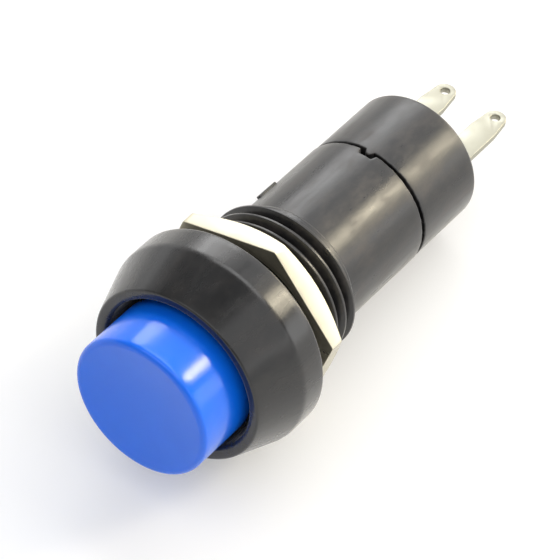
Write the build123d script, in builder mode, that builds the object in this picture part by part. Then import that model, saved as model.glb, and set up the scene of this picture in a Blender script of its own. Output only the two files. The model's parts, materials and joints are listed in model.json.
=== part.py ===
from build123d import *
import os
from math import atan, degrees

# Panel pushbutton switch, momentary, for a 12 mm panel hole. Millimetres.
# The pieces are drawn upright on the switch's own axis: Z runs toward the button and
# Z = 0 is the bezel's seat on the panel. At the end all are tipped over together, the way
# the loose switch lies on a bench, on the bezel's rim and the base's rear edge.

# ---- bezel and barrel, one moulding ----
bezel_radius = 8.0
bezel_height = 5.85
bezel_band_height = 2.2  # plain band next to the panel, below the cone
bezel_shoulder_radius = 1.6  # soft corner between band and cone
bezel_edge_radius = 0.25
lip_radius = 6.75
lip_rounding = 0.22
well_mouth_rounding = 0.45  # soft inner edge around the button's well
well_radius = 5.9
well_floor = 1.4
guide_depth = 1.0  # underside of the guide, which stops the plunger's collar
bore_radius = 4.05
seat_bore_radius = 4.3  # wider rear end of the bore, for spring seat and base
seat_bore_depth = 3.35
barrel_radius = 5.15
barrel_end = -15.75
barrel_edge_chamfer = 0.14
key_rib_width = 0.4
key_rib_height = 0.18
key_rib_length = 1.9
key_rib_front = -9.0
key_rib_angle = 146
parting_angle = 1.01  # where the mould halves part, from the X axis

# ---- thread on the barrel ----
thread_radius = 5.95
thread_pitch = 1.0
thread_depth = 0.61
thread_crest_drop = 0.03  # crests stand this much below the plain land
thread_sharp_depth = 0.75  # depth of the ridge's sharp form, before its crest is turned off
thread_root_width = 0.84
thread_end = -6.4
thread_start_angle = -60  # where the ridge begins, seen from the button
thread_front = -1.65  # the ridge's front end, behind a relief groove
land_length = 1.0  # plain shank at full diameter, where the panel sits

# ---- mounting nut ----
nut_across_flats = 13.4
nut_thickness = 1.7
nut_front = -1.45
nut_bore_clearance = 0.07
nut_turn = 13.6  # how far the loose nut has turned from flat side down
nut_corner_cut = 0.6  # height of the corner chamfer on the rear face

# ---- button and plunger ----
travel = 3.0
cap_radius = 5.4
cap_face = 9.8
cap_skirt_end = 4.7
cap_wall = 0.9
cap_top_thickness = 1.2
cap_edge_radius = 0.4
cap_dish_radius = 4.95
cap_dish_depth = 0.16
post_radius = 2.0
post_length = 3.4
post_clearance = 0.02
stem_radius = 3.0
stem_clearance = 0.05
guide_rib_width = 0.8
guide_rib_radius = 3.45
guide_rib_clearance = 0.1
collar_radius = 3.9
collar_thickness = 1.4
stop_gap = 0.02
rod_radius = 1.9
pin_radius = 0.8
pin_head_radius = 1.05
pin_head_thickness = 0.35

# ---- springs ----
return_wire_radius = 0.25
return_coil_radius = 3.1
return_turns = 7.0
contact_wire_radius = 0.11
contact_spring_length = 1.83
contact_coil_radius = 1.3
contact_turns = 4.0

# ---- spring seat ----
spring_seat_thickness = 0.6
spring_seat_clearance = 0.05

# ---- contacts, terminals and base ----
base_radius = 5.1
base_length = 6.53  # from the seam to the rear face
base_edge_radius = 0.35
seam_gap = 0.22
spigot_clearance = 0.03
base_cavity_radius = 3.6
base_floor_thickness = 3.0
tab_width = 1.0
tab_length = 0.82
tab_clearance = 0.08
disc_radius = 3.1
disc_thickness = 0.4
disc_hole_clearance = 0.08
contact_clearance = 0.02  # left over the contacts with the button all the way in
terminal_spacing = 4.4
terminal_width = 2.0
terminal_tip_width = 1.6
terminal_taper_length = 1.6
terminal_thickness = 0.5
terminal_reach = 7.6  # from the base's rear face to the blade's tip
terminal_eye_radius = 0.35
tongue_width = 1.7
shelf_length = 1.65
rivet_offset = 0.6  # how far the contact stands from the plane of the blades
rivet_head_radius = 0.7
rivet_head_height = 0.55
rivet_head_rounding = 0.35
rivet_shank_radius = 0.35
slot_clearance = 0.02
base_parting_angle = -1.27  # the base's mould parts at an angle of its own

# ---- places that follow from the sizes above ----
thread_root_radius = thread_radius - thread_depth
thread_crest_radius = thread_radius - thread_crest_drop
guide_bore_radius = stem_radius + stem_clearance
collar_top = -guide_depth - stop_gap
collar_end = collar_top - collar_thickness
seat_step = barrel_end + seat_bore_depth
spring_seat_end = seat_step - spring_seat_thickness
base_front = barrel_end - seam_gap
base_end = base_front - base_length
base_floor = base_end + base_floor_thickness
terminal_tip = base_end - terminal_reach
shelf_top = base_floor + terminal_thickness
contact_top = shelf_top + rivet_head_height
disc_bottom = contact_top + contact_clearance + travel
disc_top = disc_bottom + disc_thickness
rod_end = disc_top + contact_spring_length
nut_bore_radius = thread_radius + nut_bore_clearance
nut_rear = nut_front - nut_thickness
nut_corner_radius = nut_across_flats / 3**0.5


# ---- housing ----
with BuildPart() as thread_ridge:
    with BuildLine() as thread_path:
        Helix(
            pitch=thread_pitch,
            height=thread_front - thread_end,
            radius=thread_root_radius - 0.05,
            center=(0, 0, thread_end),
        )
    with BuildSketch(Plane(origin=thread_path.line @ 0, x_dir=(1, 0, 0), z_dir=thread_path.line % 0)):
        with BuildLine():
            Polyline(
                (0, -thread_root_width / 2),
                (thread_sharp_depth + 0.05, 0),
                (0, thread_root_width / 2),
                close=True,
            )
        make_face()
    sweep(path=thread_path.line, is_frenet=True)
    # crests turned off to the thread's major diameter
    with BuildSketch(Plane.XY.offset(thread_end - thread_pitch)):
        Circle(thread_radius + thread_depth)
        Circle(thread_crest_radius, mode=Mode.SUBTRACT)
    extrude(amount=thread_pitch - thread_end, mode=Mode.SUBTRACT)

with BuildPart() as housing:
    with BuildSketch(Plane.XZ.rotated((0, 0, parting_angle))):
        with BuildLine():
            Polyline(
                (thread_radius, 0),
                (bezel_radius, 0),
                (bezel_radius, bezel_band_height),
                (lip_radius, bezel_height),
                (well_radius, bezel_height),
                (well_radius, well_floor),
                (guide_bore_radius, well_floor),
                (guide_bore_radius, -guide_depth),
                (bore_radius, -guide_depth),
                (bore_radius, seat_step),
                (seat_bore_radius, seat_step),
                (seat_bore_radius, barrel_end),
                (barrel_radius, barrel_end),
                (barrel_radius, thread_end - 0.2),
                (thread_root_radius, thread_end),
                (thread_root_radius, -land_length),
                (thread_radius, -land_length),
                close=True,
            )
        make_face()
        rim = vertices().sort_by_distance((bezel_radius, 0))[0]
        fillet(rim, bezel_edge_radius)
        shoulder = vertices().sort_by_distance((bezel_radius, bezel_band_height))[0]
        fillet(shoulder, bezel_shoulder_radius)
        lip = vertices().sort_by_distance((lip_radius, bezel_height))[0]
        fillet(lip, lip_rounding)
        well_mouth = vertices().sort_by_distance((well_radius, bezel_height))[0]
        fillet(well_mouth, well_mouth_rounding)
        rear_edge = vertices().sort_by_distance((barrel_radius, barrel_end))[0]
        chamfer(rear_edge, barrel_edge_chamfer)
    revolve(axis=Axis.Z)
    add(thread_ridge.part, rotation=(0, 0, thread_start_angle))
    # slots that keep the plunger from turning
    with Locations((0, 0, (well_floor - guide_depth) / 2)):
        Box(
            2 * (guide_rib_radius + guide_rib_clearance),
            guide_rib_width + 2 * guide_rib_clearance,
            well_floor + guide_depth,
            mode=Mode.SUBTRACT,
        )
    # notch for the base's index tab
    with Locations((0, barrel_radius, barrel_end)):
        Box(
            tab_width + 2 * tab_clearance,
            2 * (barrel_radius - seat_bore_radius) + 0.2,
            2 * (tab_length - seam_gap + tab_clearance),
            mode=Mode.SUBTRACT,
        )
    # short rib that keys the barrel in a notched panel
    with Locations(Rot(0, 0, key_rib_angle) * Pos(barrel_radius, 0, key_rib_front - key_rib_length / 2)):
        Box(2 * key_rib_height, key_rib_width, key_rib_length)

# ---- mounting nut ----
with BuildPart() as mounting_nut:
    with BuildSketch(Plane.XY.offset(nut_front)):
        RegularPolygon(nut_across_flats / 2, 6, major_radius=False, rotation=nut_turn)
        Circle(nut_bore_radius, mode=Mode.SUBTRACT)
    extrude(amount=-nut_thickness)
    # corners turned off on the rear face
    with BuildSketch(Plane.XZ):
        with BuildLine():
            Polyline(
                (0, nut_front),
                (2 * nut_corner_radius - nut_across_flats / 2, nut_front),
                (2 * nut_corner_radius - nut_across_flats / 2, nut_rear + 2 * nut_corner_cut),
                (nut_across_flats / 2, nut_rear),
                (0, nut_rear),
                close=True,
            )
        make_face()
    revolve(axis=Axis.Z, mode=Mode.INTERSECT)
    bore_edges = edges().filter_by(GeomType.CIRCLE).group_by(SortBy.RADIUS)[0]
    chamfer(bore_edges, 0.12)

# ---- button cap ----
with BuildPart() as button_cap:
    with BuildSketch(Plane.XZ):
        with BuildLine():
            Polyline(
                (cap_dish_radius, cap_face),
                (cap_radius, cap_face),
                (cap_radius, cap_skirt_end),
                (cap_radius - cap_wall, cap_skirt_end),
                (cap_radius - cap_wall, cap_face - cap_top_thickness),
                (stem_radius, cap_face - cap_top_thickness),
                (stem_radius, cap_skirt_end),
                (post_radius + post_clearance, cap_skirt_end),
                (post_radius + post_clearance, cap_skirt_end + post_length + 0.1),
                (0, cap_skirt_end + post_length + 0.1),
                (0, cap_face - cap_dish_depth),
            )
            ThreePointArc(
                (0, cap_face - cap_dish_depth),
                (cap_dish_radius / 2, cap_face - cap_dish_depth * 0.75),
                (cap_dish_radius, cap_face),
            )
        make_face()
        cap_edge = vertices().sort_by_distance((cap_radius, cap_face))[0]
        fillet(cap_edge, cap_edge_radius)
    revolve(axis=Axis.Z)

# ---- plunger ----
with BuildPart() as plunger:
    with BuildSketch(Plane.XZ):
        with BuildLine():
            Polyline(
                (0, cap_skirt_end + post_length),
                (post_radius - 0.2, cap_skirt_end + post_length),
                (post_radius, cap_skirt_end + post_length - 0.2),
                (post_radius, cap_skirt_end),
                (stem_radius, cap_skirt_end),
                (stem_radius, collar_top),
                (collar_radius, collar_top),
                (collar_radius, collar_end),
                (rod_radius, collar_end),
                (rod_radius, rod_end),
                (pin_radius, rod_end),
                (pin_radius, disc_bottom),
                (pin_head_radius, disc_bottom),
                (pin_head_radius - 0.15, disc_bottom - pin_head_thickness),
                (0, disc_bottom - pin_head_thickness),
                close=True,
            )
        make_face()
    revolve(axis=Axis.Z)
    rib_top = cap_skirt_end - 0.3
    with Locations((0, 0, (rib_top + collar_top) / 2)):
        Box(2 * guide_rib_radius, guide_rib_width, rib_top - collar_top)

# ---- springs, with ends ground flat ----
with BuildPart() as return_spring:
    with BuildLine() as return_path:
        Helix(
            pitch=(collar_end - seat_step) / return_turns,
            height=collar_end - seat_step,
            radius=return_coil_radius,
            center=(0, 0, seat_step),
        )
    with BuildSketch(Plane(origin=return_path.line @ 0, x_dir=(1, 0, 0), z_dir=return_path.line % 0)):
        Circle(return_wire_radius)
    sweep(path=return_path.line, is_frenet=True)
    with Locations((0, 0, (collar_end + seat_step) / 2)):
        Cylinder(bore_radius, collar_end - seat_step, mode=Mode.INTERSECT)

with BuildPart() as contact_spring:
    with BuildLine() as contact_path:
        Helix(
            pitch=(rod_end - disc_top) / contact_turns,
            height=rod_end - disc_top,
            radius=contact_coil_radius,
            center=(0, 0, disc_top),
        )
    with BuildSketch(Plane(origin=contact_path.line @ 0, x_dir=(1, 0, 0), z_dir=contact_path.line % 0)):
        Circle(contact_wire_radius)
    sweep(path=contact_path.line, is_frenet=True)
    with Locations((0, 0, (rod_end + disc_top) / 2)):
        Cylinder(rod_radius, rod_end - disc_top, mode=Mode.INTERSECT)

# ---- spring seat ----
with BuildPart() as spring_seat:
    with BuildSketch(Plane.XY.offset(seat_step)):
        Circle(seat_bore_radius - spigot_clearance)
        Circle(rod_radius + spring_seat_clearance, mode=Mode.SUBTRACT)
    extrude(amount=-spring_seat_thickness)

# ---- contact disc ----
with BuildPart() as contact_disc:
    with BuildSketch(Plane.XY.offset(disc_bottom)):
        Circle(disc_radius)
        Circle(pin_radius + disc_hole_clearance, mode=Mode.SUBTRACT)
    extrude(amount=disc_thickness)
    outer_edges = edges().filter_by(GeomType.CIRCLE).group_by(SortBy.RADIUS)[-1]
    fillet(outer_edges, 0.12)

# ---- base ----
with BuildPart() as base:
    with BuildSketch(Plane.XZ.rotated((0, 0, base_parting_angle))):
        with BuildLine():
            Polyline(
                (base_cavity_radius, spring_seat_end),
                (seat_bore_radius - spigot_clearance, spring_seat_end),
                (seat_bore_radius - spigot_clearance, base_front),
                (base_radius, base_front),
                (base_radius, base_end),
                (0, base_end),
                (0, base_floor),
                (base_cavity_radius, base_floor),
                close=True,
            )
        make_face()
        spigot_edge = vertices().sort_by_distance((seat_bore_radius, spring_seat_end))[0]
        chamfer(spigot_edge, 0.15)
        front_edge = vertices().sort_by_distance((base_radius, base_front))[0]
        chamfer(front_edge, 0.1)
        end_edge = vertices().sort_by_distance((base_radius, base_end))[0]
        fillet(end_edge, base_edge_radius)
    revolve(axis=Axis.Z)
    # index tab at the top of the seam
    with BuildSketch(Plane.XY.offset(base_front - 0.3)):
        with Locations((0, (base_radius + seat_bore_radius - spigot_clearance) / 2)):
            Rectangle(tab_width, base_radius - seat_bore_radius + spigot_clearance + 0.02)
    extrude(amount=tab_length + 0.3)
    # slots for the terminals' tongues
    with BuildSketch(Plane.XY.offset(base_end)):
        with GridLocations(terminal_spacing, 0, 2, 1):
            Rectangle(tongue_width + 2 * slot_clearance, terminal_thickness + 2 * slot_clearance)
    extrude(amount=base_floor - base_end, mode=Mode.SUBTRACT)

# ---- terminals and their contacts, right side first ----
with BuildPart() as terminal_right:
    eye_place = terminal_tip + terminal_tip_width / 2
    with BuildSketch(Plane.XZ):
        with Locations((terminal_spacing / 2, 0)):
            Polygon(
                (-terminal_width / 2, base_end),
                (-terminal_width / 2, eye_place + terminal_taper_length),
                (-terminal_tip_width / 2, eye_place),
                (terminal_tip_width / 2, eye_place),
                (terminal_width / 2, eye_place + terminal_taper_length),
                (terminal_width / 2, base_end),
                align=None,
            )
        with Locations((terminal_spacing / 2, (base_end + shelf_top) / 2)):
            Rectangle(tongue_width, shelf_top - base_end)
        with Locations((terminal_spacing / 2, eye_place)):
            Circle(terminal_tip_width / 2)
            Circle(terminal_eye_radius, mode=Mode.SUBTRACT)
    extrude(amount=terminal_thickness / 2, both=True)
    with BuildSketch(Plane.XY.offset(base_floor)):
        with Locations((terminal_spacing / 2, shelf_length / 2 - terminal_thickness / 2)):
            Rectangle(tongue_width, shelf_length)
    extrude(amount=terminal_thickness)
    with BuildSketch(Plane.XY.offset(base_floor)):
        with Locations((terminal_spacing / 2, rivet_offset)):
            Circle(rivet_shank_radius)
    extrude(amount=terminal_thickness, mode=Mode.SUBTRACT)
    bend = edges().filter_by(Axis.X).sort_by_distance((terminal_spacing / 2, -terminal_thickness / 2, shelf_top))[0]
    fillet(bend, 0.3)

with BuildPart() as fixed_contact_right:
    with BuildSketch(Plane.XY.offset(base_floor)):
        with Locations((terminal_spacing / 2, rivet_offset)):
            Circle(rivet_shank_radius)
    extrude(amount=terminal_thickness)
    with BuildSketch(Plane.XY.offset(shelf_top)):
        with Locations((terminal_spacing / 2, rivet_offset)):
            Circle(rivet_head_radius)
    extrude(amount=rivet_head_height)
    fillet(faces().sort_by(Axis.Z)[-1].edges(), rivet_head_rounding)

with BuildPart() as terminal_left:
    add(terminal_right.part, rotation=(0, 0, 180))

with BuildPart() as fixed_contact_left:
    add(fixed_contact_right.part, rotation=(0, 0, 180))

# ---- lay the switch on its side and write the pieces ----
rest_run = bezel_edge_radius - (base_end + base_edge_radius)
tilt = degrees(atan((bezel_radius - base_radius) / rest_run))
lay_down = Location((0, 0, 0), (90 - tilt, 0, 0))

pieces = {
    "housing": housing,
    "mounting_nut": mounting_nut,
    "button_cap": button_cap,
    "plunger": plunger,
    "return_spring": return_spring,
    "contact_spring": contact_spring,
    "spring_seat": spring_seat,
    "contact_disc": contact_disc,
    "base": base,
    "terminal_left": terminal_left,
    "terminal_right": terminal_right,
    "fixed_contact_left": fixed_contact_left,
    "fixed_contact_right": fixed_contact_right,
}

os.makedirs("parts", exist_ok=True)
for name, piece in pieces.items():
    laid = piece.part.moved(lay_down)
    laid.label = name
    export_step(laid, f"parts/{name}.step")
    size = laid.bounding_box().size
    print(f"{name:20s} {piece.part.volume:9.3f} mm3  {size.X:.2f} x {size.Y:.2f} x {size.Z:.2f}")
print(f"tilt {tilt:.3f} degrees")
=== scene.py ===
import json
import math

import bmesh
import bpy
from bpy.props import FloatProperty, FloatVectorProperty, IntProperty, PointerProperty
from mathutils import Matrix, Vector


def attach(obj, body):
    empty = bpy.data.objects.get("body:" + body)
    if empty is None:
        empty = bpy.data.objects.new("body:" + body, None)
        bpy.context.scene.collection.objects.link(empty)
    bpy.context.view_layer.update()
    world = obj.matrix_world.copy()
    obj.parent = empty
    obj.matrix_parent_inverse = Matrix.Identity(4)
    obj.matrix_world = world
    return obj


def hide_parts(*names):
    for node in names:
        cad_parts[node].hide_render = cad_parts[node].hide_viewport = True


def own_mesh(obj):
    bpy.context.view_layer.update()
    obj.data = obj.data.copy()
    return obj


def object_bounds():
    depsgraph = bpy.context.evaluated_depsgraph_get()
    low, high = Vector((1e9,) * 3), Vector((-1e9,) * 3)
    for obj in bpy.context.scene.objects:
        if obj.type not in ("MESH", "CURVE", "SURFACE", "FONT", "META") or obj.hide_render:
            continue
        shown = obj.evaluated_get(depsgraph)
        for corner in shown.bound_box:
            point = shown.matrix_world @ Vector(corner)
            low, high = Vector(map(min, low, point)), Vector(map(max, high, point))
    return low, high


bl_info = {
    "name": "Panel pushbutton switch",
    "version": (1, 0, 0),
    "blender": (4, 5, 0),
    "location": "3D View > Sidebar > Switch",
    "description": "Makes the shapes, finishes and studio of a panel pushbutton switch",
    "category": "Object",
}

MM = 0.001
UP = Vector((0, 0, 1))

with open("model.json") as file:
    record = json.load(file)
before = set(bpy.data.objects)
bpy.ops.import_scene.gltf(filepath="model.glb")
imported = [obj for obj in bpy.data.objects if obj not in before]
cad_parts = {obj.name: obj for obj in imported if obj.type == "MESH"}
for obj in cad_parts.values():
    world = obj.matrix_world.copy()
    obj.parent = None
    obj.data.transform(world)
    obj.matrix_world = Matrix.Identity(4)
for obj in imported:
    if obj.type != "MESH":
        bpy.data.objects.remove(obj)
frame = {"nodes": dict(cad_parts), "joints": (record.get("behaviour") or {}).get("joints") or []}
CAD_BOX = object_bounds()
BENCH = CAD_BOX[0].z


def switch_axis():
    """The turn that lays a drawing on the switch's axis, with its Z toward the button."""
    press = next(j for j in frame["joints"] if j["name"] == "button_press")
    toward_button = -Vector(press["axis"]).normalized()
    side = Vector((1, 0, 0))
    top = toward_button.cross(side)
    return Matrix((side, top, toward_button)).transposed().to_4x4()


LIE = switch_axis()


def to_linear(code):
    """The linear colour of an sRGB hex code."""
    parts = [int(code[i : i + 2], 16) / 255 for i in (1, 3, 5)]
    return tuple(p / 12.92 if p <= 0.04045 else ((p + 0.055) / 1.055) ** 2.4 for p in parts)


def add_node(tree, kind, inputs=None, **settings):
    """Adds a node. An input given as a socket is linked, and any other input is a value."""
    node = tree.nodes.new(kind)
    for name, value in settings.items():
        setattr(node, name, value)
    for key, value in (inputs or {}).items():
        socket = node.inputs[key]
        if isinstance(value, bpy.types.NodeSocket):
            tree.links.new(value, socket)
        else:
            socket.default_value = value
    return node


# ---------------------------------------------------------------- what a user would change


class SwitchSizes(bpy.types.PropertyGroup):
    """Sizes of the shown pieces, from the seat on the panel and the axis"""

    bezel_radius: FloatProperty(
        name="Bezel radius", description="Radius of the band next to the panel",
        default=8.0 * MM, unit="LENGTH",
    )
    bezel_height: FloatProperty(
        name="Bezel height", description="From the panel to the front ring",
        default=5.85 * MM, unit="LENGTH",
    )
    band_height: FloatProperty(
        name="Band height", description="Where the band turns into the cone",
        default=2.2 * MM, unit="LENGTH",
    )
    lip_radius: FloatProperty(
        name="Lip radius", description="Outer radius of the front ring",
        default=6.75 * MM, unit="LENGTH",
    )
    well_radius: FloatProperty(
        name="Well radius", description="Hole that the button works in",
        default=5.9 * MM, unit="LENGTH",
    )
    barrel_radius: FloatProperty(
        name="Barrel radius", description="Smooth barrel behind the thread",
        default=5.15 * MM, unit="LENGTH",
    )
    barrel_end: FloatProperty(
        name="Barrel length", description="From the panel to the barrel's rear edge",
        default=15.75 * MM, unit="LENGTH",
    )
    land_radius: FloatProperty(
        name="Thread radius", description="Plain land that fills the panel's hole",
        default=5.95 * MM, unit="LENGTH",
    )
    thread_root: FloatProperty(
        name="Thread root radius", description="Radius between the ridges",
        default=5.34 * MM, unit="LENGTH",
    )
    thread_pitch: FloatProperty(
        name="Thread pitch", description="From ridge to ridge",
        default=1.0 * MM, unit="LENGTH",
    )
    thread_front: FloatProperty(
        name="Thread front", description="Where the ridge begins behind the panel's seat",
        default=1.65 * MM, unit="LENGTH",
    )
    thread_end: FloatProperty(
        name="Thread end", description="Where the ridge ends behind the panel's seat",
        default=6.4 * MM, unit="LENGTH",
    )
    nut_flats: FloatProperty(
        name="Nut across flats", description="Width of the hexagon",
        default=13.4 * MM, unit="LENGTH",
    )
    nut_thickness: FloatProperty(
        name="Nut thickness", description="Front face to rear face",
        default=1.7 * MM, unit="LENGTH",
    )
    nut_front: FloatProperty(
        name="Nut place", description="From the panel's seat to the nut's front face",
        default=1.45 * MM, unit="LENGTH",
    )
    nut_turn: FloatProperty(
        name="Nut turn", description="How far the nut has turned from flat side down",
        default=math.radians(13.6), unit="ROTATION",
    )
    cap_radius: FloatProperty(
        name="Cap radius", description="Radius of the button",
        default=5.4 * MM, unit="LENGTH",
    )
    cap_face: FloatProperty(
        name="Cap face", description="From the panel's seat to the button's face",
        default=9.8 * MM, unit="LENGTH",
    )
    base_radius: FloatProperty(
        name="Base radius", description="Radius of the rear housing",
        default=5.1 * MM, unit="LENGTH",
    )
    base_end: FloatProperty(
        name="Base end", description="From the panel's seat to the rear face",
        default=22.5 * MM, unit="LENGTH",
    )
    seam_gap: FloatProperty(
        name="Seam", description="Gap between barrel and base",
        default=0.22 * MM, unit="LENGTH",
    )
    blade_spacing: FloatProperty(
        name="Terminal spacing", description="Centre to centre",
        default=4.4 * MM, unit="LENGTH",
    )
    blade_width: FloatProperty(
        name="Terminal width", description="Width of a blade",
        default=2.0 * MM, unit="LENGTH",
    )
    blade_thickness: FloatProperty(
        name="Terminal thickness", description="Gauge of the sheet",
        default=0.5 * MM, unit="LENGTH",
    )
    blade_tip: FloatProperty(
        name="Terminal tip", description="From the panel's seat to the blades' tips",
        default=30.1 * MM, unit="LENGTH",
    )
    round_steps: IntProperty(
        name="Steps round", description="Faces round each turned piece",
        default=288, min=72, max=720,
    )


class SwitchColours(bpy.types.PropertyGroup):
    """Colours of the finishes"""

    black: FloatVectorProperty(
        name="Black plastic", description="Housing and base",
        subtype="COLOR", default=to_linear("#0B0B0D"),
    )
    blue: FloatVectorProperty(
        name="Blue plastic", description="Button cap",
        subtype="COLOR", default=to_linear("#0C72FC"),
    )
    natural: FloatVectorProperty(
        name="Natural plastic", description="Plunger and spring seat",
        subtype="COLOR", default=to_linear("#E8E4D8"),
    )
    nickel: FloatVectorProperty(
        name="Nickel", description="Nut",
        subtype="COLOR", default=to_linear("#CFC9B4"),
    )
    tin: FloatVectorProperty(
        name="Tin", description="Terminals",
        subtype="COLOR", default=to_linear("#A9A799"),
    )
    silver: FloatVectorProperty(
        name="Silver", description="Contacts",
        subtype="COLOR", default=to_linear("#EDEBE6"),
    )
    steel: FloatVectorProperty(
        name="Spring steel", description="Springs",
        subtype="COLOR", default=to_linear("#B9B9BA"),
    )


# ---------------------------------------------------------------- finishes


def new_finish(name):
    """A new material: itself, its tree, its shader and the place that its patterns read."""
    finish = bpy.data.materials.new(name)
    finish.use_nodes = True
    tree = finish.node_tree
    shader = tree.nodes["Principled BSDF"]
    place = add_node(tree, "ShaderNodeTexCoord").outputs["Object"]
    return finish, tree, shader, place


def tinted(colour, share):
    """A colour socket's value: the colour made darker or lighter by a share."""
    return (*(min(1.0, share * part) for part in colour), 1)


def on_axis(tree, place, stretch=(1, 1, 1)):
    """Turns the pattern so that its Z runs along the switch, then scales it."""
    unturn = LIE.inverted().to_euler()
    turned = add_node(tree, "ShaderNodeMapping", {"Vector": place, "Rotation": unturn})
    scaled = add_node(tree, "ShaderNodeMapping", {"Vector": turned.outputs[0], "Scale": stretch})
    return scaled.outputs[0]


def moulded_black_abs(colour):
    """Black ABS. The bezel's mould is polished and the barrel's is only ground, so the
    barrel is duller, with draw marks along the axis. A thin film from handling leaves
    it patchy, warm where the film is thick and cool where it is bare."""
    finish, tree, shader, place = new_finish("moulded_black_abs")
    along = on_axis(tree, place)
    from_seat = add_node(tree, "ShaderNodeSeparateXYZ", {"Vector": along}).outputs["Z"]
    # 1 on the barrel and the base, 0 on the bezel
    ground = add_node(
        tree,
        "ShaderNodeMapRange",
        {"Value": from_seat, "From Min": 0.0, "From Max": -1.0 * MM},
    )
    # draw marks: about 1.2 mm apart round the barrel, eight times as long
    drawn = add_node(tree, "ShaderNodeMapping", {"Vector": along, "Scale": (1, 1, 0.12)})
    streaks = add_node(
        tree,
        "ShaderNodeTexNoise",
        {"Vector": drawn.outputs[0], "Scale": 1 / (1.2 * MM), "Detail": 3.0, "Roughness": 0.55},
    )
    # film: patches of about 1.3 mm by 2.6 mm
    wiped = add_node(tree, "ShaderNodeMapping", {"Vector": along, "Scale": (1, 1, 0.5)})
    film = add_node(
        tree,
        "ShaderNodeTexNoise",
        {"Vector": wiped.outputs[0], "Scale": 1 / (1.3 * MM), "Detail": 5.0, "Roughness": 0.65},
    )
    # ground surface: grain is 0.05 mm, drawn at 0.2 mm so that it shows
    grain = add_node(
        tree,
        "ShaderNodeTexNoise",
        {"Vector": place, "Scale": 1 / (0.2 * MM), "Detail": 2.0, "Roughness": 0.6},
    )
    thick = add_node(
        tree,
        "ShaderNodeMapRange",
        {"Value": film.outputs[0], "From Min": 0.4, "From Max": 0.78},
        interpolation_type="SMOOTHSTEP",
    )
    # the polished bezel holds only a third of the film
    spread = add_node(
        tree,
        "ShaderNodeMapRange",
        {"Value": ground.outputs[0], "To Min": 0.35, "To Max": 1.0},
    )
    filmed = add_node(
        tree,
        "ShaderNodeMath",
        {0: thick.outputs[0], 1: spread.outputs[0]},
        operation="MULTIPLY",
    )
    shade = add_node(
        tree,
        "ShaderNodeMix",
        {"Factor": filmed.outputs[0], 6: tinted(colour, 1.0), 7: (*to_linear("#322D2A"), 1)},
        data_type="RGBA",
    )
    # roughness: the streaks give its range, the polish takes some off, the film adds some
    duller = add_node(
        tree,
        "ShaderNodeMapRange",
        {
            "Value": streaks.outputs[0],
            "From Min": 0.2,
            "From Max": 0.8,
            "To Min": 0.2,
            "To Max": 0.42,
        },
    )
    finer = add_node(
        tree,
        "ShaderNodeMapRange",
        {"Value": ground.outputs[0], "To Min": 0.78, "To Max": 1.0},
    )
    bare = add_node(
        tree,
        "ShaderNodeMath",
        {0: duller.outputs[0], 1: finer.outputs[0]},
        operation="MULTIPLY",
    )
    roughness = add_node(
        tree,
        "ShaderNodeMath",
        {0: filmed.outputs[0], 1: 0.16, 2: bare.outputs[0]},
        operation="MULTIPLY_ADD",
    )
    grainy = add_node(
        tree,
        "ShaderNodeMapRange",
        {"Value": ground.outputs[0], "To Min": 0.08, "To Max": 0.3},
    )
    fine = add_node(
        tree,
        "ShaderNodeBump",
        {"Height": grain.outputs[0], "Strength": grainy.outputs[0], "Distance": 0.012 * MM},
    )
    wavy = add_node(
        tree,
        "ShaderNodeBump",
        {
            "Height": streaks.outputs[0],
            "Strength": 0.5,
            "Distance": 0.03 * MM,
            "Normal": fine.outputs[0],
        },
    )
    tree.links.new(shade.outputs[2], shader.inputs["Base Color"])
    tree.links.new(roughness.outputs[0], shader.inputs["Roughness"])
    tree.links.new(wavy.outputs[0], shader.inputs["Normal"])
    shader.inputs["IOR"].default_value = 1.6
    # the haze that handled black plastic shows at a glancing angle
    shader.inputs["Sheen Weight"].default_value = 0.32
    shader.inputs["Sheen Roughness"].default_value = 0.35
    return finish


def moulded_blue_abs(colour):
    """Glossy blue ABS. Even and clean, light passes a little way into it, and the
    highlight shows the slight swirl of a polished mould."""
    finish, tree, shader, place = new_finish("moulded_blue_abs")
    # swirl: the polishing strokes of the mould, about 2.5 mm across
    swirl = add_node(
        tree,
        "ShaderNodeTexNoise",
        {"Vector": place, "Scale": 1 / (2.5 * MM), "Detail": 3.0},
    )
    # polish marks are under 0.02 mm, drawn at 0.12 mm so that they soften the highlight
    marks = add_node(
        tree,
        "ShaderNodeTexNoise",
        {"Vector": place, "Scale": 1 / (0.12 * MM), "Detail": 2.0},
    )
    shade = add_node(
        tree,
        "ShaderNodeMix",
        {"Factor": swirl.outputs[0], 6: tinted(colour, 0.94), 7: tinted(colour, 1.05)},
        data_type="RGBA",
    )
    roughness = add_node(
        tree,
        "ShaderNodeMapRange",
        {
            "Value": swirl.outputs[0],
            "From Min": 0.2,
            "From Max": 0.8,
            "To Min": 0.14,
            "To Max": 0.24,
        },
    )
    fine = add_node(
        tree,
        "ShaderNodeBump",
        {"Height": marks.outputs[0], "Strength": 0.12, "Distance": 0.005 * MM},
    )
    tree.links.new(shade.outputs[2], shader.inputs["Base Color"])
    tree.links.new(roughness.outputs[0], shader.inputs["Roughness"])
    tree.links.new(fine.outputs[0], shader.inputs["Normal"])
    # light goes up to 0.7 mm into the cap, blue the furthest
    shader.inputs["Subsurface Weight"].default_value = 0.25
    shader.inputs["Subsurface Radius"].default_value = (0.15, 0.45, 1.0)
    shader.inputs["Subsurface Scale"].default_value = 0.7 * MM
    shader.inputs["IOR"].default_value = 1.52
    return finish


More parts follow.
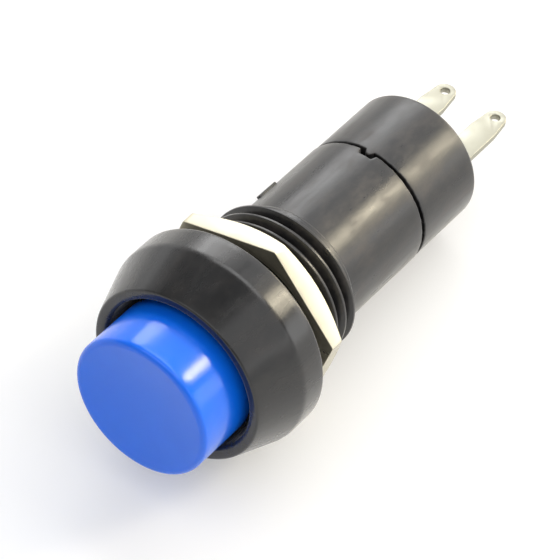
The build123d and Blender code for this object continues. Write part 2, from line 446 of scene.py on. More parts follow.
def plated(name, colour, roughness, mark_spacing, length_share=1.0, metallic=1.0):
    """A bright plate over pressed metal. The marks of the tool underneath stay visible
    as fine lines, and the plate is a little duller where it has been handled. The marks
    are really 0.02 to 0.05 mm apart, and are drawn as coarse as they need to show. A
    length share under 1 draws them out along the switch."""
    finish, tree, shader, place = new_finish(name)
    lines = add_node(
        tree,
        "ShaderNodeTexNoise",
        {
            "Vector": on_axis(tree, place, (1, 1, length_share)),
            "Scale": 1 / mark_spacing,
            "Detail": 4.0,
            "Roughness": 0.6,
        },
    )
    # where fingers have been: patches of about 1.6 mm
    handled = add_node(
        tree,
        "ShaderNodeTexNoise",
        {"Vector": place, "Scale": 1 / (1.6 * MM), "Detail": 3.0},
    )
    shade = add_node(
        tree,
        "ShaderNodeMix",
        {"Factor": handled.outputs[0], 6: tinted(colour, 0.9), 7: tinted(colour, 1.06)},
        data_type="RGBA",
    )
    uneven = add_node(
        tree,
        "ShaderNodeMapRange",
        {
            "Value": handled.outputs[0],
            "From Min": 0.2,
            "From Max": 0.8,
            "To Min": 0.7 * roughness,
            "To Max": 1.35 * roughness,
        },
    )
    bump = add_node(
        tree,
        "ShaderNodeBump",
        {"Height": lines.outputs[0], "Strength": 0.35, "Distance": 0.01 * MM},
    )
    tree.links.new(shade.outputs[2], shader.inputs["Base Color"])
    tree.links.new(uneven.outputs[0], shader.inputs["Roughness"])
    tree.links.new(bump.outputs[0], shader.inputs["Normal"])
    shader.inputs["Metallic"].default_value = metallic
    return finish


def natural_acetal(colour):
    """Natural acetal. Milky and waxy, with soft highlights."""
    finish, tree, shader, place = new_finish("natural_acetal")
    # flow of the melt: clouds of about 1.5 mm
    clouds = add_node(
        tree,
        "ShaderNodeTexNoise",
        {"Vector": place, "Scale": 1 / (1.5 * MM), "Detail": 3.0},
    )
    shade = add_node(
        tree,
        "ShaderNodeMix",
        {"Factor": clouds.outputs[0], 6: tinted(colour, 0.92), 7: tinted(colour, 1.0)},
        data_type="RGBA",
    )
    bump = add_node(
        tree,
        "ShaderNodeBump",
        {"Height": clouds.outputs[0], "Strength": 0.2, "Distance": 0.01 * MM},
    )
    tree.links.new(shade.outputs[2], shader.inputs["Base Color"])
    tree.links.new(bump.outputs[0], shader.inputs["Normal"])
    shader.inputs["Roughness"].default_value = 0.38
    shader.inputs["IOR"].default_value = 1.48
    return finish


FINISHES = {}


def finishes():
    """The switch's finishes, made once."""
    if not FINISHES:
        colours = bpy.context.scene.switch_colours
        FINISHES["black"] = moulded_black_abs(colours.black)
        FINISHES["blue"] = moulded_blue_abs(colours.blue)
        FINISHES["natural"] = natural_acetal(colours.natural)
        # a film dulls the nickel a little, so it is not fully metallic
        FINISHES["nickel"] = plated(
            "bright_nickel_plate", colours.nickel, 0.33, 0.12 * MM, length_share=0.1, metallic=0.85
        )
        FINISHES["tin"] = plated(
            "tin_plate_on_brass", colours.tin, 0.42, 0.1 * MM, length_share=0.08
        )
        FINISHES["silver"] = plated("silver_contact_plate", colours.silver, 0.25, 0.1 * MM)
        FINISHES["steel"] = plated("drawn_spring_steel", colours.steel, 0.28, 0.05 * MM)
    return FINISHES


# ---------------------------------------------------------------- making pieces

# the barrel's rear bore, which takes the base's spigot
SEAT_BORE = 4.3 * MM
# the blades' narrow inner end, in the base
TONGUE_HALF_WIDTH = 0.85 * MM
TONGUE_END = -19.0 * MM
# thinner than any wall, and more than a rounding error
SLACK = 0.005 * MM


def outline(corners, steps=6, longest=0.5 * MM):
    """A closed outline of (radius, height) points. Each corner (radius, height, rounding)
    becomes an arc, and long straight runs get points between."""
    points = []
    for i, (x, y, rounding) in enumerate(corners):
        here = Vector((x, y))
        back = (Vector(corners[i - 1][:2]) - here).normalized()
        on = (Vector(corners[(i + 1) % len(corners)][:2]) - here).normalized()
        if not rounding:
            points.append(here)
            continue
        half = back.angle(on) / 2
        centre = here + (back + on).normalized() * rounding / math.sin(half)
        start = here + back * rounding / math.tan(half) - centre
        end = here + on * rounding / math.tan(half) - centre
        sweep = math.pi - 2 * half
        for k in range(steps + 1):
            share = k / steps
            spoke = start * math.sin((1 - share) * sweep) + end * math.sin(share * sweep)
            points.append(centre + spoke / math.sin(sweep))
    full = []
    for here, following in zip(points, points[1:] + points[:1]):
        count = max(1, math.ceil((following - here).length / longest))
        full += [here.lerp(following, k / count) for k in range(count)]
    return full


def skin(columns):
    """A closed mesh through outlines set round the axis, each given as (angle, outline)."""
    bm = bmesh.new()
    rings = []
    for angle, points in columns:
        c, s = math.cos(angle), math.sin(angle)
        rings.append([bm.verts.new((r * c, r * s, z)) for r, z in points])
    for here, following in zip(rings, rings[1:] + rings[:1]):
        for i, below in enumerate(here):
            above = here[(i + 1) % len(here)]
            bm.faces.new((below, following[i], following[(i + 1) % len(here)], above))
    bmesh.ops.remove_doubles(bm, verts=bm.verts, dist=0.0002 * MM)
    bmesh.ops.dissolve_degenerate(bm, edges=bm.edges, dist=0.0001 * MM)
    bmesh.ops.recalc_face_normals(bm, faces=bm.faces)
    return bm


def round_angles(steps, sectors=()):
    """Angles round the axis, each with whether it is inside a sector (middle, half width).
    A sector's sides get two columns each, one outside it and one inside."""
    sides = [(middle - half, True) for middle, half in sectors]
    sides += [(middle + half, False) for middle, half in sectors]
    columns = []
    start, inside = 0.0, False
    for angle, opens in (*sorted(sides), (2 * math.pi, False)):
        count = max(1, round((angle - start) / (2 * math.pi) * steps))
        columns += [(start + (angle - start) * k / count, inside) for k in range(count + 1)]
        start, inside = angle, opens
    return columns[:-1]


def eased(value, low, high):
    """0 up to low, 1 from high on, and a smooth rise between."""
    share = min(1.0, max(0.0, (value - low) / (high - low)))
    return share * share * (3 - 2 * share)


# the seam's ragged edges: waves round the seam, their phase and their height
RAGS = ((31, 0.4, 0.012 * MM), (67, 2.1, 0.010 * MM), (113, 0.0, 0.007 * MM))
# the base sits askew: how far the seam opens on its wide side, and where that side is
SEAM_OPENS = 0.26 * MM
SEAM_WIDE_SIDE = math.radians(-35)
# where the index notch and its tab are
TOP = math.pi / 2
# the seam's rags, notch and tab fade out over this height of the wall
EDGE_FADES = 1.0 * MM


def ragged(angle):
    """How unevenly the two mouldings' edges meet round the seam."""
    return sum(height * math.sin(waves * angle + phase) for waves, phase, height in RAGS)


def index_notch(angle, radius, depth, half_width, ease):
    """Depth of the index notch, or height of its tab, at an angle."""
    away = abs((angle - TOP + math.pi) % (2 * math.pi) - math.pi) * radius
    return depth * (1 - eased(away, half_width - ease, half_width + ease))


def seam_opening(angle, gap):
    """The gap round the seam, which opens on one side."""
    toward_wide = (1 + math.cos(angle - SEAM_WIDE_SIDE)) / 2
    return 0.85 * gap + SEAM_OPENS * toward_wide**2


def near_edge(distance):
    """1 at a moulding's edge and 0 where the edge's unevenness has faded out."""
    return min(1.0, max(0.0, 1 - distance / EDGE_FADES))


def arc(height, radius, start, sweep, steps):
    """Points of an arc whose centre is on the axis at a height."""
    angles = [start + sweep * k / steps for k in range(steps + 1)]
    return [(radius * math.cos(a), height + radius * math.sin(a)) for a in angles]


def block(bm, size, place, rounding=0.05 * MM):
    """Adds a block with rounded edges."""
    made = bmesh.ops.create_cube(bm, size=1, matrix=place @ Matrix.Diagonal((*size, 1)))
    edges = list({e for v in made["verts"] for e in v.link_edges})
    bmesh.ops.bevel(bm, geom=edges, offset=rounding, segments=3, profile=0.5, affect="EDGES")


def to_mesh(name, bm, sharp=38):
    """A mesh of what was drawn. Edges that bend by more than the sharp angle, in degrees,
    stay sharp, and the rest is shaded smooth."""
    for face in bm.faces:
        face.smooth = True
    for edge in bm.edges:
        edge.smooth = len(edge.link_faces) == 2 and edge.calc_face_angle(0) < math.radians(sharp)
    mesh = bpy.data.meshes.new(name)
    bm.to_mesh(mesh)
    bm.free()
    return mesh


def place_piece(name, mesh, finish, body, node):
    """Lays a mesh where the switch lies, as a piece that rides on a body and stands for a
    CAD node."""
    mesh.transform(LIE)
    mesh.materials.append(finish)
    piece = bpy.data.objects.new(name, mesh)
    bpy.context.scene.collection.objects.link(piece)
    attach(piece, body)
    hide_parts(node)
    return piece


def finish_node(name, finish):
    """Gives a CAD node that stays in view its finish."""
    node = frame["nodes"][name]
    node.data.materials.clear()
    node.data.materials.append(finish)


# ---------------------------------------------------------------- node trees


def helix_tree():
    """A rod along a helix. Its section is a trapezoid, or round for a wire, and it can
    taper off at both ends."""
    tree = bpy.data.node_groups.new("Helical ridge", "GeometryNodeTree")
    tree.interface.new_socket("Geometry", in_out="OUTPUT", socket_type="NodeSocketGeometry")
    for label, kind, value in (
        ("Radius", "NodeSocketFloat", 5.0 * MM),
        ("Length", "NodeSocketFloat", 5.0 * MM),
        ("Turns", "NodeSocketFloat", 5.0),
        ("Start height", "NodeSocketFloat", 0.0),
        ("Start angle", "NodeSocketFloat", 0.0),
        ("Steps a turn", "NodeSocketInt", 48),
        ("Ridge height", "NodeSocketFloat", 0.5 * MM),
        ("Root width", "NodeSocketFloat", 0.8 * MM),
        ("Crest width", "NodeSocketFloat", 0.2 * MM),
        ("Crest rounding", "NodeSocketFloat", 0.05 * MM),
        ("Wire radius", "NodeSocketFloat", 0.1 * MM),
        ("Round section", "NodeSocketBool", False),
        ("Taper turns", "NodeSocketFloat", 0.0),
    ):
        socket = tree.interface.new_socket(label, in_out="INPUT", socket_type=kind)
        socket.default_value = value
    tree.interface.new_socket("Finish", in_out="INPUT", socket_type="NodeSocketMaterial")
    given = add_node(tree, "NodeGroupInput").outputs
    line = add_node(
        tree,
        "GeometryNodeCurveSpiral",
        {
            "Resolution": given["Steps a turn"],
            "Rotations": given["Turns"],
            "Start Radius": given["Radius"],
            "End Radius": given["Radius"],
            "Height": given["Length"],
            "Reverse": True,
        },
    )
    lift = add_node(tree, "ShaderNodeCombineXYZ", {"Z": given["Start height"]})
    turn = add_node(tree, "ShaderNodeCombineXYZ", {"Z": given["Start angle"]})
    placed = add_node(
        tree,
        "GeometryNodeTransform",
        {"Geometry": line.outputs[0], "Translation": lift.outputs[0], "Rotation": turn.outputs[0]},
    )
    upright = add_node(
        tree,
        "GeometryNodeSetCurveNormal",
        {"Curve": placed.outputs[0]},
        mode="Z_UP",
    )
    # the rod's size along it, from the turns between a point and the nearer end
    share = add_node(tree, "GeometryNodeSplineParameter").outputs["Factor"]
    rest = add_node(tree, "ShaderNodeMath", {0: 1.0, 1: share}, operation="SUBTRACT")
    nearer = add_node(tree, "ShaderNodeMath", {0: share, 1: rest.outputs[0]}, operation="MINIMUM")
    turns_in = add_node(
        tree,
        "ShaderNodeMath",
        {0: nearer.outputs[0], 1: given["Turns"]},
        operation="MULTIPLY",
    )
    faded = add_node(
        tree,
        "ShaderNodeMapRange",
        {"Value": turns_in.outputs[0], "From Max": given["Taper turns"], "To Min": 0.12},
        interpolation_type="SMOOTHSTEP",
    )
    # the ridge's section, its foot on the helix and its crest outward
    trapezoid = add_node(
        tree,
        "GeometryNodeCurvePrimitiveQuadrilateral",
        {
            "Height": given["Ridge height"],
            "Bottom Width": given["Root width"],
            "Top Width": given["Crest width"],
            "Offset": 0.0,
        },
        mode="TRAPEZOID",
    )
    softened = add_node(
        tree,
        "GeometryNodeFilletCurve",
        {
            "Curve": trapezoid.outputs[0],
            "Count": 3,
            "Radius": given["Crest rounding"],
            "Limit Radius": True,
        },
        mode="POLY",
    )
    half = add_node(
        tree,
        "ShaderNodeMath",
        {0: given["Ridge height"], 1: 0.5},
        operation="MULTIPLY",
    )
    raised = add_node(tree, "ShaderNodeCombineXYZ", {"Y": half.outputs[0]})
    ridge = add_node(
        tree,
        "GeometryNodeTransform",
        {"Geometry": softened.outputs[0], "Translation": raised.outputs[0]},
    )
    outward = add_node(
        tree,
        "GeometryNodeTransform",
        {"Geometry": ridge.outputs[0], "Rotation": (0.0, 0.0, -math.pi / 2)},
    )
    wire = add_node(
        tree,
        "GeometryNodeCurvePrimitiveCircle",
        {"Resolution": 16, "Radius": given["Wire radius"]},
    )
    section = add_node(
        tree,
        "GeometryNodeSwitch",
        {"Switch": given["Round section"], "False": outward.outputs[0], "True": wire.outputs[0]},
        input_type="GEOMETRY",
    )
    rod = add_node(
        tree,
        "GeometryNodeCurveToMesh",
        {
            "Curve": upright.outputs[0],
            "Profile Curve": section.outputs[0],
            "Scale": faded.outputs[0],
            "Fill Caps": True,
        },
    )
    real = add_node(tree, "GeometryNodeRealizeInstances", {"Geometry": rod.outputs[0]})
    finished = add_node(
        tree, "GeometryNodeSetMaterial", {"Geometry": real.outputs[0], "Material": given["Finish"]}
    )
    out = add_node(tree, "NodeGroupOutput")
    tree.links.new(finished.outputs[0], out.inputs["Geometry"])
    return tree


def grow(tree, values):
    """What a node tree makes from the given values, as a bmesh."""
    seed = bpy.data.objects.new("seed", bpy.data.meshes.new("seed"))
    bpy.context.scene.collection.objects.link(seed)
    modifier = seed.modifiers.new("grow", "NODES")
    modifier.node_group = tree
    sockets = {s.name: s for s in tree.interface.items_tree if s.in_out == "INPUT"}
    for label, value in values.items():
        modifier[sockets[label].identifier] = value
    seed.update_tag()
    depsgraph = bpy.context.evaluated_depsgraph_get()
    mesh = bpy.data.meshes.new_from_object(seed.evaluated_get(depsgraph))
    seed.modifiers.remove(modifier)
    bpy.data.objects.remove(seed)
    bm = bmesh.new()
    bm.from_mesh(mesh)
    bpy.data.meshes.remove(mesh)
    return bm


# ---------------------------------------------------------------- operators

TREES = {}


class SWITCH_OT_housing(bpy.types.Operator):
    """Bezel, well and barrel, one moulding, with its thread, key rib and notch"""

    bl_idname = "switch.housing"
    bl_label = "Housing"

    def execute(self, context):
        sizes = context.scene.switch_sizes
        black = finishes()["black"]
        for name, mesh in (
            ("housing_shell", self.shell(sizes)),
            ("barrel_thread", self.thread(sizes, black)),
        ):
            place_piece(name, mesh, black, "body", "housing")
        return {"FINISHED"}

    def shell(self, sizes):
        """The turned moulding, with a keyway in its guide bore, a notch and a key rib."""
        well_floor = 1.4 * MM
        guide_bore, guide_end = 3.05 * MM, -1.0 * MM
        spring_bore, spring_bore_end = 4.05 * MM, -12.4 * MM
        land_end = -1.0 * MM
        # collar: a low step between the thread and the barrel
        collar_front = -sizes.thread_end - 0.3 * MM
        collar_rear = -sizes.thread_end - 0.78 * MM
        collar_radius = sizes.barrel_radius + 0.07 * MM
        plain = outline(
            (
                (sizes.land_radius, 0.0, 0.08 * MM),
                (sizes.bezel_radius, 0.0, 0.25 * MM),
                (sizes.bezel_radius, sizes.band_height, 1.6 * MM),
                (sizes.lip_radius, sizes.bezel_height, 0.22 * MM),
                (sizes.well_radius, sizes.bezel_height, 0.45 * MM),
                (sizes.well_radius, well_floor, 0.2 * MM),
                (guide_bore, well_floor, 0.1 * MM),
                (guide_bore, guide_end, 0),
                (spring_bore, guide_end, 0),
                (spring_bore, spring_bore_end, 0),
                (SEAT_BORE, spring_bore_end, 0),
                (SEAT_BORE, -sizes.barrel_end, 0.05 * MM),
                (sizes.barrel_radius, -sizes.barrel_end, 0.14 * MM),
                (sizes.barrel_radius, collar_rear - 0.14 * MM, 0.05 * MM),
                (collar_radius, collar_rear, 0.04 * MM),
                (collar_radius, collar_front, 0.05 * MM),
                (sizes.thread_root, collar_front + 0.12 * MM, 0.06 * MM),
                (sizes.thread_root, land_end, 0.08 * MM),
                (sizes.land_radius, land_end, 0.06 * MM),
            )
        )
        keyway_reach, keyway_width = 3.55 * MM, 1.0 * MM
        keyed = [Vector((max(r, keyway_reach), z)) for r, z in plain]
        keyway = (math.pi, keyway_width / (guide_bore + keyway_reach))
        notch_depth, notch_half_width, notch_ease = 0.5 * MM, 0.6 * MM, 0.1 * MM
        columns = []
        for angle, in_keyway in round_angles(sizes.round_steps, (keyway,)):
            lift = ragged(angle) + index_notch(
                angle, sizes.barrel_radius, notch_depth, notch_half_width, notch_ease
            )
            column = []
            for r, z in keyed if in_keyway else plain:
                on_wall = r > spring_bore + SLACK
                near = near_edge(z + sizes.barrel_end)
                column.append(Vector((r, z + lift * near * on_wall)))
            columns.append((angle, column))
        bm = skin(columns)

        # the rib that keys the switch in a notched panel hole, half sunk in the barrel
        rib_size = (0.36 * MM, 0.4 * MM, 1.9 * MM)
        rib_middle = (sizes.barrel_radius, 0, -9.95 * MM)
        rib_turn = Matrix.Rotation(math.radians(146), 4, "Z")
        block(bm, rib_size, rib_turn @ Matrix.Translation(rib_middle), rounding=0.06 * MM)
        return to_mesh("housing_shell", bm)

    def thread(self, sizes, finish):
        """The ridge round the barrel, sunk a little into the core that it stands on."""
        sunk = 0.14 * MM
        ridge_end = sizes.thread_end + 0.2 * MM
        length = ridge_end - sizes.thread_front
        bm = grow(
            TREES["helix"],
            {
                "Radius": sizes.thread_root - sunk,
                "Length": length,
                "Turns": length / sizes.thread_pitch,
                "Start height": -ridge_end,
                "Start angle": math.radians(-60),
                "Steps a turn": 144,
                "Ridge height": 0.72 * MM,
                "Root width": 0.934 * MM,
                "Crest width": 0.18 * MM,
                "Crest rounding": 0.05 * MM,
                "Taper turns": 0.08,
                "Finish": finish,
            },
        )
        return to_mesh("barrel_thread", bm, sharp=50)


class SWITCH_OT_nut(bpy.types.Operator):
    """Plated hexagon nut, loose on the thread"""

    bl_idname = "switch.nut"
    bl_label = "Mounting nut"

    def execute(self, context):
        sizes = context.scene.switch_sizes
        flat = sizes.nut_flats / 2
        front = -sizes.nut_front
        rear = front - sizes.nut_thickness
        bore = 6.02 * MM
        edge, bore_edge = 0.05 * MM, 0.1 * MM
        # the rear corners are chamfered at 30 degrees, from just inside the flats
        chamfer_slope, chamfer_inset, chamfer_lift = 0.58, 0.1 * MM, 0.08 * MM
        columns = []
        steps = 6 * 60
        for k in range(steps):
            angle = 2 * math.pi * k / steps
            r = self.reach(angle, flat, corner=0.18 * MM)
            chamfer = chamfer_slope * (r - flat) + chamfer_lift
            section = (
                (bore, front, bore_edge),
                (r, front, edge),
                (r, rear + chamfer, 0.04 * MM),
                (flat - chamfer_inset, rear, 0.06 * MM),
                (bore, rear, bore_edge),
            )
            # no points between the corners, because the faces are flat
            column = outline(section, steps=4, longest=sizes.nut_flats)
            columns.append((angle + sizes.nut_turn, column))
        mesh = to_mesh("nut", skin(columns), sharp=30)
        place_piece("nut", mesh, finishes()["nickel"], "nut", "mounting_nut")
        return {"FINISHED"}

    def reach(self, angle, flat, corner):
        """How far the hexagon reaches at an angle from one corner, its corners rounded."""
        sixth = math.pi / 6
        from_flat = angle % (2 * sixth) - sixth
        touch = math.atan2((flat - corner) * math.tan(sixth), flat)
        if abs(from_flat) <= touch:
            return flat / math.cos(from_flat)
        centre = (flat - corner) / math.cos(sixth)
        from_corner = sixth - abs(from_flat)
        across = centre * math.sin(from_corner)
        return centre * math.cos(from_corner) + math.sqrt(max(corner**2 - across**2, 0.0))


class SWITCH_OT_cap(bpy.types.Operator):
    """Button cap, with its slightly hollow face and rounded rim"""

    bl_idname = "switch.cap"
    bl_label = "Button cap"

    def execute(self, context):
        sizes = context.scene.switch_sizes
        face, radius = sizes.cap_face, sizes.cap_radius
        dish_radius, dish_depth, dish_steps = 4.95 * MM, 0.4 * MM, 12
        dish = []
        for k in range(dish_steps):
            share = k / dish_steps
            dish.append((dish_radius * share, face - dish_depth * (1 - share**2), 0))
        skirt_end = 4.7 * MM
        inside, ceiling = radius - 0.9 * MM, face - 1.2 * MM
        # the boss under the face, and the socket in it that takes the plunger's post
        boss_radius, socket_radius, socket_end = 3.0 * MM, 2.02 * MM, skirt_end + 3.5 * MM
        section = (
            *dish,
            (dish_radius, face, 0.1 * MM),
            (radius, face, 0.4 * MM),
            (radius, skirt_end, 0.1 * MM),
            (inside, skirt_end, 0.1 * MM),
            (inside, ceiling, 0.2 * MM),
            (boss_radius, ceiling, 0.1 * MM),
            (boss_radius, skirt_end, 0.05 * MM),
            (socket_radius, skirt_end, 0.05 * MM),
            (socket_radius, socket_end, 0),
            (0.0, socket_end, 0),
        )
        points = outline(section, steps=8)
        bm = skin([(angle, points) for angle, _ in round_angles(sizes.round_steps)])
        mesh = to_mesh("cap", bm)
        place_piece("cap", mesh, finishes()["blue"], "button", "button_cap")
        return {"FINISHED"}


class SWITCH_OT_base(bpy.types.Operator):
    """Rear housing, with its spigot in the barrel and its index tab in the notch"""

    bl_idname = "switch.base"
    bl_label = "Base"

    def execute(self, context):
        sizes = context.scene.switch_sizes
        front = -sizes.barrel_end - sizes.seam_gap
        spigot_radius, spigot_end = SEAT_BORE - 0.03 * MM, -13.0 * MM
        cavity_radius, cavity_floor = 3.6 * MM, -19.5 * MM
        plain = outline(
            (
                (cavity_radius, spigot_end, 0),
                (spigot_radius, spigot_end, 0.1 * MM),
                (spigot_radius, front, 0),
                (sizes.base_radius, front, 0.1 * MM),
                (sizes.base_radius, -sizes.base_end, 0.35 * MM),
                (0.0, -sizes.base_end, 0),
                (0.0, cavity_floor, 0),
                (cavity_radius, cavity_floor, 0),
            )
        )
        tab_height, tab_half_width, tab_ease = 0.42 * MM, 0.25 * MM, 0.12 * MM
        columns = []
        for angle, _ in round_angles(sizes.round_steps):
            lift = sizes.seam_gap - seam_opening(angle, sizes.seam_gap)
            # 2 radians on, so that the two edges' rags don't match
            lift += ragged(angle + 2)
            lift += index_notch(angle, sizes.base_radius, tab_height, tab_half_width, tab_ease)
            column = []
            for r, z in plain:
                on_wall = r > spigot_radius - SLACK and z < front + SLACK
                near = near_edge(front - z)
                column.append(Vector((r, z + lift * near * on_wall)))
            columns.append((angle, column))
        mesh = to_mesh("rear_base", skin(columns))
        place_piece("rear_base", mesh, finishes()["black"], "body", "base")
        return {"FINISHED"}


class SWITCH_OT_terminals(bpy.types.Operator):
    """The two solder blades, with their eyes"""

    bl_idname = "switch.terminals"
    bl_label = "Terminals"

    def execute(self, context):
        sizes = context.scene.switch_sizes
        for side, name, node in (
            (-1, "blade_left", "terminal_left"),
            (1, "blade_right", "terminal_right"),
        ):
            mesh = self.blade(sizes, side)
            place_piece(name, mesh, finishes()["tin"], "body", node)
        return {"FINISHED"}

    def blade(self, sizes, side):
        """A flat blade with a pierced eye, and the shelf at its inner end."""
        bm = self.stamping(sizes)
        bmesh.ops.remove_doubles(bm, verts=bm.verts, dist=0.0005 * MM)
        aside = side * sizes.blade_spacing / 2
        stand = Matrix.Translation((aside, 0, 0)) @ Matrix.Rotation(math.pi / 2, 4, "X")
        bmesh.ops.transform(bm, matrix=stand, verts=bm.verts)
        # the shelf that carries the fixed contact, flush with the tongue's end
        shelf_size = (2 * TONGUE_HALF_WIDTH, 1.65 * MM, sizes.blade_thickness)
        shelf_middle = (aside, side * 0.575 * MM, TONGUE_END - sizes.blade_thickness / 2)
        block(bm, shelf_size, Matrix.Translation(shelf_middle))
        bmesh.ops.recalc_face_normals(bm, faces=bm.faces)
        return to_mesh("blade", bm, sharp=50)

    def stamping(self, sizes):
        """The blade's flat shape, cut from sheet with slightly rounded edges. The rounding
        stands out from the drawn line, so the line runs inside the blade by that much."""
        rounding = 0.06 * MM
        tip_radius, eye_radius = 0.8 * MM, 0.35 * MM
        eye_height = -sizes.blade_tip + tip_radius
        shoulder = eye_height + 1.6 * MM
        half = sizes.blade_width / 2 - rounding
        tongue = TONGUE_HALF_WIDTH - rounding
        side = [
            (tongue, TONGUE_END - rounding),
            (tongue, -sizes.base_end - rounding),
            (half, -sizes.base_end - rounding),
            (half, shoulder),
        ]
        tip = arc(eye_height, tip_radius - rounding, 0, -math.pi, 24)
        eye = arc(eye_height, eye_radius + rounding, 0, 2 * math.pi, 32)[:-1]
        blade = side + tip + [(-x, z) for x, z in reversed(side)]
        curve = bpy.data.curves.new("blade", "CURVE")
        curve.dimensions = "2D"
        curve.fill_mode = "BOTH"
        curve.extrude = sizes.blade_thickness / 2 - rounding
        curve.bevel_depth = rounding
        curve.bevel_resolution = 2
        for ring in (blade, eye):
            spline = curve.splines.new("POLY")
            spline.points.add(len(ring) - 1)
            for point, (x, z) in zip(spline.points, ring):
                point.co = (x, z, 0, 1)
            spline.use_cyclic_u = True
        drawn = bpy.data.objects.new("blade", curve)
        bpy.context.scene.collection.objects.link(drawn)
        depsgraph = bpy.context.evaluated_depsgraph_get()
        mesh = bpy.data.meshes.new_from_object(drawn.evaluated_get(depsgraph))
        bpy.data.objects.remove(drawn)
        bm = bmesh.new()
        bm.from_mesh(mesh)
        bpy.data.meshes.remove(mesh)
        return bm


class SWITCH_OT_springs(bpy.types.Operator):
    """The two coil springs, each wound between its ends"""

    bl_idname = "switch.springs"
    bl_label = "Springs"

    def execute(self, context):
        steel = finishes()["steel"]
        # each spring's coils (radius, wire radius, turns), then its rear and front end,
        # the end that stays where it is, and the travel that shortens it
        for name, node, body, joint, coils, ends, anchor, travel in (
            (
                "return_coil",
                "return_spring",
                "body",
                "button_press",
                (3.1 * MM, 0.25 * MM, 7.0),
                (-12.4 * MM, -2.42 * MM),
                -12.4 * MM,
                3.0 * MM,
            ),
            (
                "contact_coil",
                "contact_spring",
                "button",
                "disc_lift",
                (1.3 * MM, 0.11 * MM, 4.0),
                (-15.03 * MM, -13.2 * MM),
                -13.2 * MM,
                0.8 * MM,
            ),
        ):
            mesh = self.coil(name, steel, coils, ends)
            piece = place_piece(name, mesh, steel, body, node)
            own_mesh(piece)
        return {"FINISHED"}

    def coil(self, name, finish, coils, ends):
        """A spring's wire, wound between its ends."""
        radius, wire, turns = coils
        rear, front = ends
        bm = grow(
            TREES["helix"],
            {
                "Radius": radius,
                "Length": front - rear - 2 * wire,
                "Turns": turns,
                "Start height": rear + wire,
                "Wire radius": wire,
                "Round section": True,
                "Finish": finish,
            },
        )
        return to_mesh(name, bm, sharp=60)


class SWITCH_OT_inner_pieces(bpy.types.Operator):
    """Finishes for the CAD pieces inside: plunger, spring seat and contacts"""

    bl_idname = "switch.inner_pieces"
    bl_label = "Inner pieces"

    def execute(self, context):
        for name, finish in (
            ("plunger", "natural"),
            ("spring_seat", "natural"),
            ("contact_disc", "silver"),
            ("fixed_contact_left", "silver"),
            ("fixed_contact_right", "silver"),
        ):
            finish_node(name, finishes()[finish])
        return {"FINISHED"}


# lamps: name, azimuth and elevation from the front, width and height, all in degrees,
# radiance and colour
LAMPS = (
    ("key", 143, 29, 11, 16, 22.0, "#FFF3D8"),
    ("left_rear", -144, 28, 24, 20, 5.0, "#FFFFFF"),
    ("rear", 180, 34, 46, 24, 1.3, "#FFFFFF"),
    ("high_rear", 178, 60, 60, 16, 3.0, "#FFFFFF"),
    ("low_rear", 131, 8, 24, 18, 1.6, "#FFFFFF"),
    ("right", 96, 40, 36, 50, 0.9, "#FFFFFF"),
    ("left", -108, 22, 30, 24, 0.4, "#FFFFFF"),
    ("front", 0, 70, 60, 32, 1.2, "#FFFFFF"),
    ("back", 160, 8, 30, 12, 10.0, "#FFF0D0"),
)
# distances in metres
LAMPS_AWAY = 1.2
WALL_AWAY = 1.6
WALL_HEIGHT = 0.6
CAMERA_PLACE = Vector((0.09227, -0.11927, 0.19021))
CAMERA_LOOK = Vector((-0.3747, 0.5084, -0.7754))


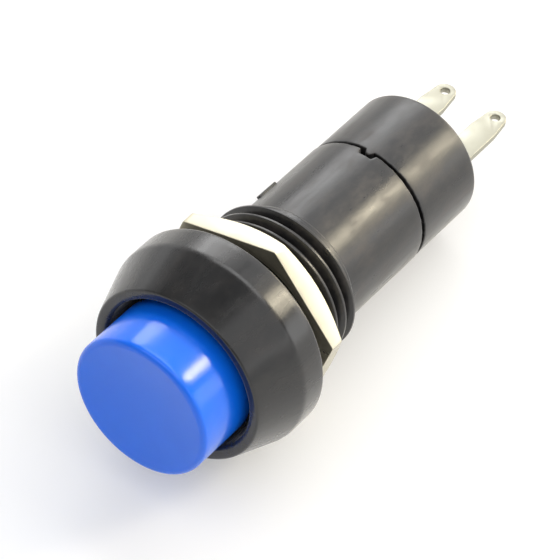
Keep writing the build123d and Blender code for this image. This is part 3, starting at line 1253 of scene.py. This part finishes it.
class SWITCH_OT_studio(bpy.types.Operator):
    """Pale floor and wall, soft lamps, a dim ceiling and the camera"""

    bl_idname = "switch.studio"
    bl_label = "Studio"

    def execute(self, context):
        scene = context.scene
        # card: share of light thrown back; glow: light to the camera; fill: light to the rest
        self.stand("floor", self.floor(), card=0.72, glow=0.3, fill=0.0)
        self.stand("wall", self.wall(), card=0.0, glow=1.0, fill=0.5)
        for name, azimuth, elevation, width, height, radiance, colour in LAMPS:
            place = self.direction(azimuth, elevation) * LAMPS_AWAY
            self.softbox(scene, name, place, width, height, radiance, to_linear(colour))
        world = bpy.data.worlds.new("dim_ceiling")
        world.use_nodes = True
        background = world.node_tree.nodes["Background"]
        background.inputs["Color"].default_value = (0.34, 0.34, 0.34, 1)
        scene.world = world
        self.camera(scene)
        scene.view_settings.view_transform = "Standard"
        return {"FINISHED"}

    def floor(self):
        """A round pale floor."""
        bm = bmesh.new()
        bmesh.ops.create_circle(bm, cap_ends=True, segments=96, radius=WALL_AWAY)
        return bm

    def wall(self):
        """A low wall far round the floor, which hides the horizon."""
        bm = bmesh.new()
        bmesh.ops.create_cone(
            bm, segments=96, radius1=WALL_AWAY, radius2=WALL_AWAY, depth=WALL_HEIGHT
        )
        bmesh.ops.translate(bm, verts=bm.verts, vec=(0, 0, WALL_HEIGHT / 2))
        return bm

    def stand(self, name, bm, card, glow, fill):
        """Stands a piece of the stage just under the switch, in pale card that glows a
        little for the camera, so that it comes out white but keeps the shadow."""
        material = bpy.data.materials.new(f"pale_{name}_card")
        material.use_nodes = True
        tree = material.node_tree
        tree.nodes.clear()
        paper = add_node(tree, "ShaderNodeBsdfDiffuse", {"Color": (card, card, card, 1)})
        strength = add_node(
            tree,
            "ShaderNodeMapRange",
            {"Value": self.seen(tree), "To Min": fill, "To Max": glow},
        )
        light = add_node(
            tree,
            "ShaderNodeEmission",
            {"Color": (1, 1, 1, 1), "Strength": strength.outputs[0]},
        )
        both = add_node(
            tree,
            "ShaderNodeAddShader",
            {0: paper.outputs[0], 1: light.outputs[0]},
        )
        add_node(tree, "ShaderNodeOutputMaterial", {"Surface": both.outputs[0]})
        mesh = bpy.data.meshes.new(name)
        bm.to_mesh(mesh)
        bm.free()
        mesh.transform(Matrix.Translation((0, 0, BENCH - 0.02 * MM)))
        mesh.materials.append(material)
        piece = bpy.data.objects.new(name, mesh)
        bpy.context.scene.collection.objects.link(piece)

    def seen(self, tree):
        """1 for what the camera sees, straight or through gloss and glass, and 0 otherwise."""
        ray = add_node(tree, "ShaderNodeLightPath").outputs
        mirrored = add_node(
            tree,
            "ShaderNodeMath",
            {0: ray["Is Glossy Ray"], 1: ray["Is Transmission Ray"]},
            operation="MAXIMUM",
        )
        either = add_node(
            tree,
            "ShaderNodeMath",
            {0: ray["Is Camera Ray"], 1: mirrored.outputs[0]},
            operation="MAXIMUM",
        )
        return either.outputs[0]

    def direction(self, azimuth, elevation):
        """The direction at an azimuth from the front and an elevation, in degrees."""
        a, e = math.radians(azimuth), math.radians(elevation)
        return Vector((math.sin(a) * math.cos(e), -math.cos(a) * math.cos(e), math.sin(e)))

    def softbox(self, scene, name, place, width, height, radiance, colour):
        """A soft lamp that faces the switch and looks that wide and high from it."""
        lamp = bpy.data.lights.new(name, "AREA")
        lamp.shape = "RECTANGLE"
        lamp.size = 2 * LAMPS_AWAY * math.tan(math.radians(width / 2))
        lamp.size_y = 2 * LAMPS_AWAY * math.tan(math.radians(height / 2))
        lamp.energy = radiance * math.pi * lamp.size * lamp.size_y
        lamp.color = colour
        box = bpy.data.objects.new(name, lamp)
        turn = place.to_track_quat("Z", "Y").to_matrix().to_4x4()
        box.matrix_world = Matrix.Translation(place) @ turn
        box.visible_camera = False
        scene.collection.objects.link(box)

    def camera(self, scene):
        """The camera, high on the button's side, with a long lens."""
        lens = bpy.data.cameras.new("camera")
        lens.sensor_width = 36.0
        lens.lens = 231.43
        lens.clip_start = 0.01
        lens.clip_end = 20.0
        camera = bpy.data.objects.new("camera", lens)
        look = CAMERA_LOOK.normalized()
        right = look.cross(UP).normalized()
        top = right.cross(look)
        turn = Matrix((right, top, -look)).transposed().to_4x4()
        camera.matrix_world = Matrix.Translation(CAMERA_PLACE) @ turn
        scene.collection.objects.link(camera)
        scene.camera = camera


class SWITCH_PT_panel(bpy.types.Panel):
    """The switch's sizes, colours and steps"""

    bl_idname = "SWITCH_PT_panel"
    bl_label = "Pushbutton switch"
    bl_space_type = "VIEW_3D"
    bl_region_type = "UI"
    bl_category = "Switch"

    def draw(self, context):
        layout = self.layout
        scene = context.scene
        for heading, group in (
            ("Sizes", scene.switch_sizes),
            ("Colours", scene.switch_colours),
        ):
            box = layout.box()
            box.label(text=heading)
            for key in group.__annotations__:
                box.prop(group, key)
        for step in STEPS:
            layout.operator(step.bl_idname)


STEPS = (
    SWITCH_OT_housing,
    SWITCH_OT_nut,
    SWITCH_OT_cap,
    SWITCH_OT_base,
    SWITCH_OT_terminals,
    SWITCH_OT_springs,
    SWITCH_OT_inner_pieces,
    SWITCH_OT_studio,
)
CLASSES = (SwitchSizes, SwitchColours, *STEPS, SWITCH_PT_panel)


def register():
    for cls in CLASSES:
        bpy.utils.register_class(cls)
    bpy.types.Scene.switch_sizes = PointerProperty(type=SwitchSizes)
    bpy.types.Scene.switch_colours = PointerProperty(type=SwitchColours)


def unregister():
    del bpy.types.Scene.switch_colours
    del bpy.types.Scene.switch_sizes
    for cls in reversed(CLASSES):
        bpy.utils.unregister_class(cls)


def main():
    register()
    TREES["helix"] = helix_tree()
    bpy.ops.switch.housing()
    bpy.ops.switch.nut()
    bpy.ops.switch.cap()
    bpy.ops.switch.base()
    bpy.ops.switch.terminals()
    bpy.ops.switch.springs()
    bpy.ops.switch.inner_pieces()
    bpy.ops.switch.studio()


if __name__ == "__main__":
    main()
